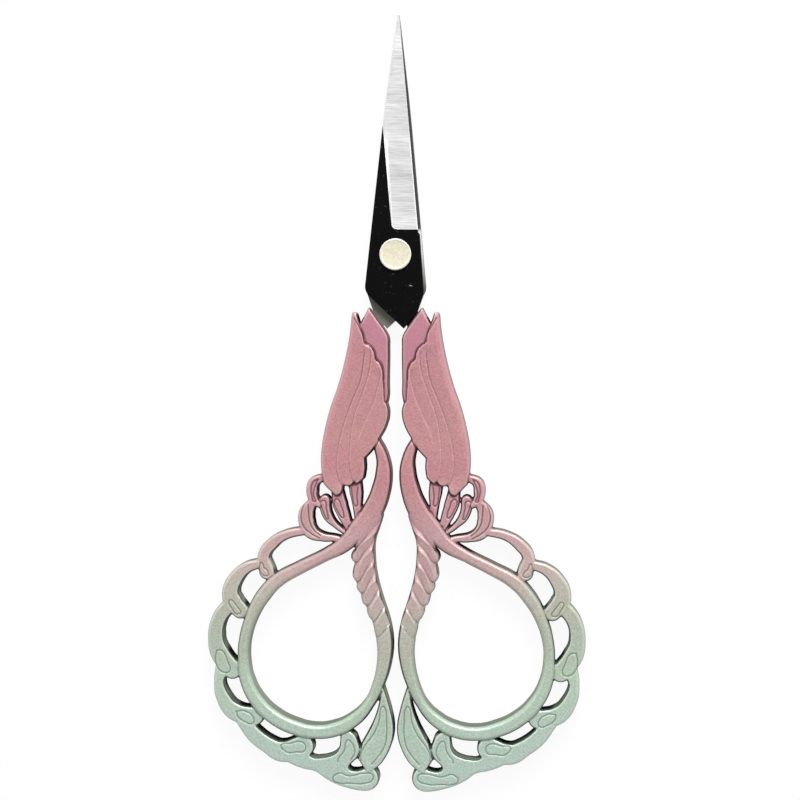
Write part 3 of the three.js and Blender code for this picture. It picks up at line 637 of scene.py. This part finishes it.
# A painted shadow lies along each valley, and a painted highlight along each lip.
for (_, furrow, share), (_, crest, along) in zip(valleys, lips):
    wash_and_shade = np.maximum(wash_and_shade, furrow * np.clip(share / 0.4, 0.3, 1) * 0.6)
    painted_highlight = np.maximum(painted_highlight, crest * np.clip(1.25 - along, 0.2, 1))
for (upper, _, _), (crest, _, _), (lower, _, _) in zip(valleys[:-1], lips[:-1], valleys[1:]):
    on_strand = (upper > 0) & (lower <= 0)
    rise = np.clip(-crest / np.maximum(upper - crest, 1e-6), 0, 1)
    fall = np.clip(crest / np.maximum(crest - lower, 1e-6), 0, 1)
    down += np.where(on_strand, STRAND_STEP_MM * MM * np.where(crest < 0, rise, fall), 0)
above = np.nan_to_num(valleys[0][0], nan=-1.0)
down += np.where(above <= 0, STRAND_STEP_MM * MM * np.exp(above / (0.9 * MM)), 0)

# Engraved lines: fine ovals in the lobes, and outlines in the stamens, the leaf and the foot.
GROOVE_MM = 0.2
GROOVE_DEPTH_MM = 0.11
GROOVE_LINE_MM = 0.12
GROOVE_LIP_MM = 0.25
flower_grooves = (
    ((34.7, 17.9), (30.3, 18.5), (24.5, 20.6), (20.1, 23.8), (18.6, 27), (12.8, 28.1), (8.4, 31.3),
     (7.7, 37.7)),
    ((22.5, 75), (17, 71.9), (11.5, 67.9)),
    ((50.7, 5.1), (43.4, 9.4), (37.6, 13.6), (36.1, 17.4)),
    ((55.3, 95.9), (53.8, 100.2), (51.4, 104.6), (48.8, 105.6), (47.2, 100.2), (45.8, 95.6)),
    ((80.5, 102.6), (77.6, 101.8), (73.2, 102.6), (70.2, 105.6), (66.5, 109.9), (67.2, 111.8), (71.1, 111),
     (76.2, 107.8), (80.5, 104.5), (80.5, 102.6)),
    ((100.4, 103.2), (97.4, 102.6), (93.4, 103.2), (92.2, 106.7), (90, 110.4), (90, 112.6), (93.4, 111.5),
     (96.7, 108.8), (99.9, 105), (100.4, 103.2)),
    ((103.9, 91.1), (110.7, 92.5), (114.1, 96), (113.5, 99.8), (108.4, 103.2), (110.7, 99.8),
     (110.1, 96.9), (107.4, 94), (103.9, 91.1)),
    ((124.6, 104.5), (128.2, 108.3), (128.9, 112.6), (124.6, 116.9), (115.6, 120.1), (102.5, 122.8)),
    ((118.6, 105), (117.9, 109.9), (115.6, 114.8), (109.8, 118.5), (101.1, 121.2)),
)
loop_grooves = (
    ((88.6, 8.5), (89.2, 12.2), (86.9, 15.2), (83, 15.2), (83.6, 12.7), (85.8, 11.4), (87.2, 8.7),
     (88.6, 8.5)),
    ((103.1, 36.6), (106, 36.6), (108.8, 33.8), (110.9, 31.1), (110.9, 29.5), (109.5, 29), (106.7, 31.1),
     (104.6, 33.3), (102.6, 35.4), (103.1, 36.6)),
    ((119.8, 56.8), (116.3, 56.8), (111.9, 62.9), (110.5, 67.7), (113.7, 69), (119, 66.3), (120.8, 60.9),
     (119.8, 56.8)),
    ((105.7, 90.1), (100.5, 89.8), (93.4, 94.1), (94.3, 96.6), (100.5, 95.5), (104.9, 92.8), (105.7, 90.1)),
    ((73.2, 110.4), (74, 108.4), (67.9, 107.4), (59.1, 106.6), (56.4, 109.1), (58.2, 111.8), (62.6, 112),
     (68.8, 112.5), (73.2, 110.4)),
    ((33.5, 116.9), (33.2, 115.4), (30.5, 112.8), (28.6, 110), (28, 106.8), (26.3, 105.2), (24, 106.3),
     (22, 109), (21.5, 111.5), (22.2, 113.5), (24.3, 115.8)),
    ((36.2, 124.7), (37.1, 126.7), (32.7, 128.8), (25.6, 128.8), (15.1, 128.8), (8.9, 126.7), (8.9, 124),
     (15.1, 123.3), (25.6, 124.7), (32.7, 123.3), (36.2, 124.7)),
    ((17.2, 116.4), (17.2, 113.1), (14.4, 108.2), (8.7, 102.3), (4.5, 95.2), (1.7, 86.5), (0.3, 87.1),
     (-1.1, 95.2), (-1.1, 102.3), (1, 109.3), (5.2, 114.2), (9.4, 118)),
)
grooves = [([on_flower(*p) for p in line], 0.95) for line in flower_grooves]
grooves += [([on_loop(*p) for p in line], 0.75) for line in loop_grooves]
for line, shade in grooves:
    away, left, share = beside(flat, line, 1 * MM)
    down += GROOVE_DEPTH_MM * MM * np.clip(1 - away / (GROOVE_MM * MM), 0, 1)
    # In the engraving a dark wash and painted shade, and beside it a painted highlight on its edge.
    wash_and_shade = np.maximum(wash_and_shade, soft_line(away, 0, GROOVE_LINE_MM) * shade)
    painted_highlight = np.maximum(painted_highlight, soft_line(away, GROOVE_LIP_MM, 0.09) * 0.6)

# The relief is pressed into both flat sides, and fades out on the walls.
facing = np.clip((np.abs(normal[:, 2]) - 0.35) / 0.4, 0, 1)
co[:, 2] -= np.sign(co[:, 2]) * down * facing
mesh.vertices.foreach_set("co", co.ravel().astype(np.float32))
mesh.update()

# Marks for the paint: a dark wash and painted shade in the hollows, painted shade on the steep walls inside
# the openwork, most where the gap across them is tight, and painted highlight on the lips.
normal = np.array([v.normal for v in mesh.vertices])
wall = 1 - np.abs(normal[:, 2])
tree_of_faces = BVHTree.FromObject(casting, bpy.context.evaluated_depsgraph_get())
nook = np.zeros(len(co))
inside = np.zeros(len(co))
NOOK_MM = 7
CLOSE_MM = (1.0, 3.0)
for index in np.flatnonzero(wall > 0.25):
    way = Vector((normal[index][0], normal[index][1], 0)).normalized()
    start = Vector(co[index]) + way * 0.25 * MM
    hit = tree_of_faces.ray_cast(start, way, NOOK_MM * MM)
    to_middle = (co[index][0] - pivot.x) / max(-way.x, 1e-6)
    inside[index] = hit[0] is not None or to_middle < NOOK_MM * MM
    gap = hit[3] if hit[0] is not None else 4 * to_middle
    tight = np.clip((CLOSE_MM[1] - gap / MM) / (CLOSE_MM[1] - CLOSE_MM[0]), 0, 1)
    nook[index] = max(tight, 0.45 * way.y)
nook, inside = spread(np.column_stack([nook, inside]), 2).T
HOLLOW_MM = 0.05
for name, values in (
    ("crease", np.maximum(wash_and_shade * facing, np.clip(hollow / (HOLLOW_MM * MM) - 0.2, 0, 1))),
    ("lip", np.maximum(painted_highlight * facing, np.clip(-hollow / (HOLLOW_MM * MM) - 0.2, 0, 1))),
    ("wall", wall),
    ("nook", nook),
    ("inside", inside),
):
    layer = mesh.attributes.new(name, "FLOAT", "POINT")
    layer.data.foreach_set("value", values.astype(np.float32))

casting.data.transform(Matrix.Translation((0, 0, half_thickness)))

# Pearl paint: dusty pink at the blades that turns sage green at the foot, with fine pale flakes in it.
paint, tree, output = new_material("pearl paint")
TINT_START_MM = -16
TINT_END_MM = 64
TINT_OUTWARD = 0.3
place = add(tree, "TexCoord").outputs["Object"]
axes = add(tree, "SeparateXYZ", {"Vector": place})
aside = add(tree, "Math", {0: axes.outputs["X"]}, operation="ABSOLUTE")
fall = add(tree, "Math", {0: aside.outputs[0], 1: TINT_OUTWARD, 2: 0}, operation="MULTIPLY_ADD")
fall = add(tree, "Math", {0: fall.outputs[0], 1: axes.outputs["Y"]}, operation="SUBTRACT")
fall = add(tree, "MapRange", {
    "Value": fall.outputs[0], "From Min": TINT_START_MM * MM, "From Max": TINT_END_MM * MM})
tint = add(tree, "ValToRGB", {"Fac": fall.outputs["Result"]})
set_stops(tint.color_ramp, [
    (0.0, linear("#C48C95")), (0.1, linear("#C1898F")), (0.3, linear("#C59092")),
    (0.37, linear("#C48B90")), (0.5, linear("#CAA5A6")), (0.56, linear("#CAA8A8")),
    (0.61, linear("#CBB1AD")), (0.67, linear("#C2BDB1")), (0.72, linear("#BCBCAC")),
    (0.8, linear("#B7C2B1")), (0.87, linear("#BBCEBB")), (1.0, linear("#BED1C6"))])
FLAKE_MM = 0.26
flakes = add(tree, "TexNoise", {"Vector": place, "Scale": 1 / (FLAKE_MM * MM), "Detail": 2, "Roughness": 0.7})
gleam = add(tree, "MapRange", {"Value": flakes.outputs["Fac"], "From Min": 0.3, "From Max": 0.7,
                               "To Min": 0.8, "To Max": 1.2})
skin = add(tree, "Mix", {"Factor": 1.0, "A": tint.outputs["Color"], "B": gleam.outputs["Result"]},
           data_type="RGBA", blend_type="MULTIPLY")


def mask(name, low, high, most=1.0):
    """A share of an attribute of the casting, from none of it at low to most of it at high."""
    value = add(tree, "Attribute", attribute_name=name).outputs["Fac"]
    return add(tree, "MapRange", {
        "Value": value, "From Min": low, "From Max": high, "To Max": most}).outputs[0]


def over(below, share, colour):
    """A share of a colour laid over the one below it."""
    return add(tree, "Mix", {"Factor": share, "A": below, "B": colour}, data_type="RGBA").outputs["Result"]


# The lower step of the flower, such as the back petal, has a tinge of violet.
colour = skin.outputs["Result"]
above_middle = add(tree, "Math", {0: axes.outputs["Z"], 1: -half_thickness}, operation="ADD")
above_middle = add(tree, "Math", {0: above_middle.outputs[0]}, operation="ABSOLUTE")
lower_step = add(tree, "MapRange", {
    "Value": above_middle.outputs[0], "From Min": half_thickness - 0.2 * MM,
    "From Max": half_thickness - 0.3 * MM})
pink = add(tree, "MapRange", {
    "Value": fall.outputs["Result"], "From Min": 0.56, "From Max": 0.36, "To Max": 0.5})
violet = add(tree, "Math", {0: lower_step.outputs[0], 1: pink.outputs[0]}, operation="MULTIPLY")
colour = over(colour, violet.outputs[0], linear("#BB7C93"))
# Lips get a painted highlight.
green = add(tree, "MapRange", {
    "Value": fall.outputs["Result"], "From Min": 0.45, "From Max": 0.65}).outputs[0]
colour = over(colour, mask("lip", 0.2, 0.9, 0.38), over(linear("#E9D2CD"), green, linear("#DEE9DC")))
# Walls have a thin coat, with painted shade on it in the nooks and towards the table.
under = add(tree, "MapRange", {
    "Value": axes.outputs["Z"], "From Min": 2.8 * MM, "From Max": 0.8 * MM, "To Max": 0.3})
unlit = add(tree, "Math", {0: mask("nook", 0.1, 0.8), 1: under.outputs[0]}, operation="MAXIMUM").outputs[0]
bare = over(linear("#A09289"), green, linear("#9BA696"))
hidden = over(linear("#1A1013"), green, linear("#18201B"))
colour = over(colour, mask("wall", 0.45, 0.75), over(bare, unlit, hidden))
# A painted shadow line follows the rim of each opening, and the creases are darkened, partly by the dark wash
# rubbed into them and partly by painted shade.
rim_shade = add(tree, "Math", {0: mask("wall", 0.15, 0.4), 1: mask("wall", 0.85, 0.55)}, operation="MULTIPLY")
rim_shade = add(tree, "Math", {0: rim_shade.outputs[0], 1: mask("inside", 0.2, 0.6, 0.85)}, operation="MULTIPLY")
colour = over(colour, rim_shade.outputs[0], over(linear("#3A2629"), green, linear("#26332C")))
colour = over(colour, mask("crease", 0.1, 0.9, 0.85), over(linear("#4A2226"), green, linear("#3E4E44")))
plain = mask("wall", 0.4, 0.8)
gloss = add(tree, "MapRange", {"Value": plain, "To Min": 0.3, "To Max": 0.0})
pearl = add(tree, "MapRange", {"Value": plain, "To Min": 0.3, "To Max": 0.0})
shader = add(tree, "BsdfPrincipled", {
    "Base Color": colour, "Roughness": 0.42, "Metallic": pearl.outputs[0],
    "Specular IOR Level": gloss.outputs[0]})
tree.links.new(shader.outputs[0], output.inputs["Surface"])
casting.data.materials.clear()
casting.data.materials.append(paint)

# The left handle is a second casting from the same mould, turned over.
left_casting = bpy.data.objects.new("left-handle", casting.data.copy())
bpy.context.scene.collection.objects.link(left_casting)
to_axis = Matrix.Translation((pivot.x, 0, half_thickness))
left_casting.data.transform(to_axis @ Matrix.Rotation(math.pi, 4, "Y") @ to_axis.inverted())

# Both keep the fine mesh on the side that shows, and their walls and their other side are thinned out.
MOST_TRIANGLES = 194000
SLACK_MM = 0.002
for handle, body, node in (
    (casting, "front_half", "right_handle"),
    (left_casting, "back_half", "left_handle"),
):
    away_from_eye = handle.vertex_groups.new(name="hidden")
    away_from_eye.add([v.index for v in handle.data.vertices if v.normal.z < 0.1], 1.0, "REPLACE")
    apply_modifier(handle, "DECIMATE", ratio=MOST_TRIANGLES / (2 * len(handle.data.polygons)),
                   vertex_group="hidden", vertex_group_factor=1.0)
    handle.vertex_groups.clear()
    for vertex in handle.data.vertices:
        vertex.co = [min(max(c, least + SLACK_MM * MM), most - SLACK_MM * MM)
                     for c, least, most in zip(vertex.co, *cad_box)]
    bpy.ops.object.shade_smooth()
    apply_modifier(handle, "WEIGHTED_NORMAL", mode="FACE_AREA", weight=50)
    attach(handle, body)
    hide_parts(node)

# Rivet and washer
# A turned steel rivet, plated a pale cream, and peened over a washer on the hidden side. Its head is
# plain inside a bright, raised rim.

# Cream plating: soft and a little mottled, with a broad, dull shine.
plating, tree, output = new_material("cream plating")
MOTTLE_MM = 0.5
place = add(tree, "TexCoord").outputs["Object"]
mottle = add(tree, "TexNoise", {
    "Vector": place, "Scale": 1 / (MOTTLE_MM * MM), "Detail": 3, "Roughness": 0.6})
cream = add(tree, "ValToRGB", {"Fac": mottle.outputs["Fac"]})
set_stops(cream.color_ramp, [
    (0.3, linear("#CFC9AE")), (0.5, linear("#DBD6BC")), (0.7, linear("#E3DFCA"))])
shader = add(tree, "BsdfPrincipled", {"Base Color": cream.outputs["Color"], "Roughness": 0.4})
tree.links.new(shader.outputs[0], output.inputs["Surface"])

# Polished plating: the rim of the head, which rubs clean; its near-white colour is a painted shine.
polish_and_shine, tree, output = new_material("polished plating with painted shine")
shader = add(tree, "BsdfPrincipled", {"Base Color": linear("#F2F1EC"), "Roughness": 0.25})
tree.links.new(shader.outputs[0], output.inputs["Surface"])

RIM_MM = 0.42
RIM_DEPTH_MM = 0.13
TURNED_EDGE_MM = 0.05
for node in ("pivot_rivet", "rivet_washer"):
    low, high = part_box(node)
    turned = bpy.data.objects.new(node.replace("_", "-"), frame["nodes"][node].data.copy())
    bpy.context.scene.collection.objects.link(turned)
    make_active(turned)
    bpy.ops.object.mode_set(mode="EDIT")
    bpy.ops.mesh.select_all(action="SELECT")
    bpy.ops.mesh.remove_doubles(threshold=1e-6)
    bpy.ops.mesh.dissolve_limited(angle_limit=math.radians(1))
    bpy.ops.object.mode_set(mode="OBJECT")
    turned.data.materials.clear()
    turned.data.materials.append(plating)
    turned.data.materials.append(polish_and_shine)
    for face in turned.data.polygons:
        raised = face.center.z > high.z - RIM_DEPTH_MM * MM
        outer = (face.center - pivot).xy.length > high.x - pivot.x - RIM_MM * MM
        face.material_index = 1 if raised and outer else 0
    apply_modifier(turned, "BEVEL", width=TURNED_EDGE_MM * MM, segments=2, limit_method="ANGLE",
                   angle_limit=math.radians(30), use_clamp_overlap=True)
    bpy.ops.object.shade_smooth_by_angle(angle=math.radians(30))
    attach(turned, "back_half")
    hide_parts(node)

# Studio
# A pale floor under the scissors, a large soft lamp above and two at the sides. The camera sees the
# floor mostly as even white, and the rest of it takes the scissors' shadow.
EVEN_WHITE = 0.935
bpy.ops.object.select_all(action="DESELECT")
bpy.ops.mesh.primitive_plane_add(size=3, location=(0, 0, -0.0001))
floor = bpy.context.object
floor.name = "floor"
white, tree, output = new_material("white floor")
shader = add(tree, "BsdfDiffuse", {"Color": (0.95, 0.95, 0.95, 1)})
glow = add(tree, "Emission", {"Color": (1, 1, 1, 1), "Strength": 1})
path = add(tree, "LightPath")
seen = add(tree, "Math", {0: path.outputs["Is Camera Ray"], 1: path.outputs["Is Glossy Ray"]},
           operation="MAXIMUM")
share = add(tree, "Math", {0: seen.outputs[0], 1: EVEN_WHITE}, operation="MULTIPLY")
mix = add(tree, "MixShader", {0: share.outputs[0], 1: shader.outputs[0], 2: glow.outputs[0]})
tree.links.new(mix.outputs[0], output.inputs["Surface"])
floor.data.materials.append(white)

world = bpy.data.worlds.new("studio")
bpy.context.scene.world = world
world.use_nodes = True
world.node_tree.nodes["Background"].inputs["Color"].default_value = (1, 1, 1, 1)
world.node_tree.nodes["Background"].inputs["Strength"].default_value = 0.34


def softbox(name, place, size, power):
    """A soft rectangular lamp that looks at the scissors."""
    bpy.ops.object.light_add(type="AREA", location=place)
    lamp = bpy.context.object
    lamp.name = name
    lamp.data.shape = "RECTANGLE"
    lamp.data.size, lamp.data.size_y = size
    lamp.data.energy = power
    lamp.rotation_euler = (-Vector(place)).to_track_quat("-Z", "Y").to_euler()


softbox("top lamp", (0.1, 0.5, 0.5), (0.4, 0.3), 5.7)
softbox("right lamp", (0.45, 0.05, 0.7), (0.4, 0.5), 0.36)
softbox("left lamp", (-0.5, 0.1, 0.5), (0.25, 0.5), 0.5)

# Camera: above the scissors and a little to the right of them, as the photograph was taken.
FRAME_MM = 130.76
CENTRE_MM = (0.75, -23.78, 1.7)
EYE_MM = (21.23, -18.16, 317.7)
centre = pivot + Vector(CENTRE_MM) * MM
eye = pivot + Vector(EYE_MM) * MM
bpy.ops.object.camera_add(location=eye)
camera = bpy.context.object
ahead = (centre - eye).normalized()
right = ahead.cross(Vector((0, 1, 0))).normalized()
camera.rotation_euler = Matrix((right, right.cross(ahead), -ahead)).transposed().to_euler()
camera.data.sensor_width = 36
camera.data.lens = 36 * (eye - centre).length / (FRAME_MM * MM)
camera.data.clip_start = 0.01
bpy.context.scene.camera = camera
bpy.context.scene.view_settings.view_transform = "Standard"
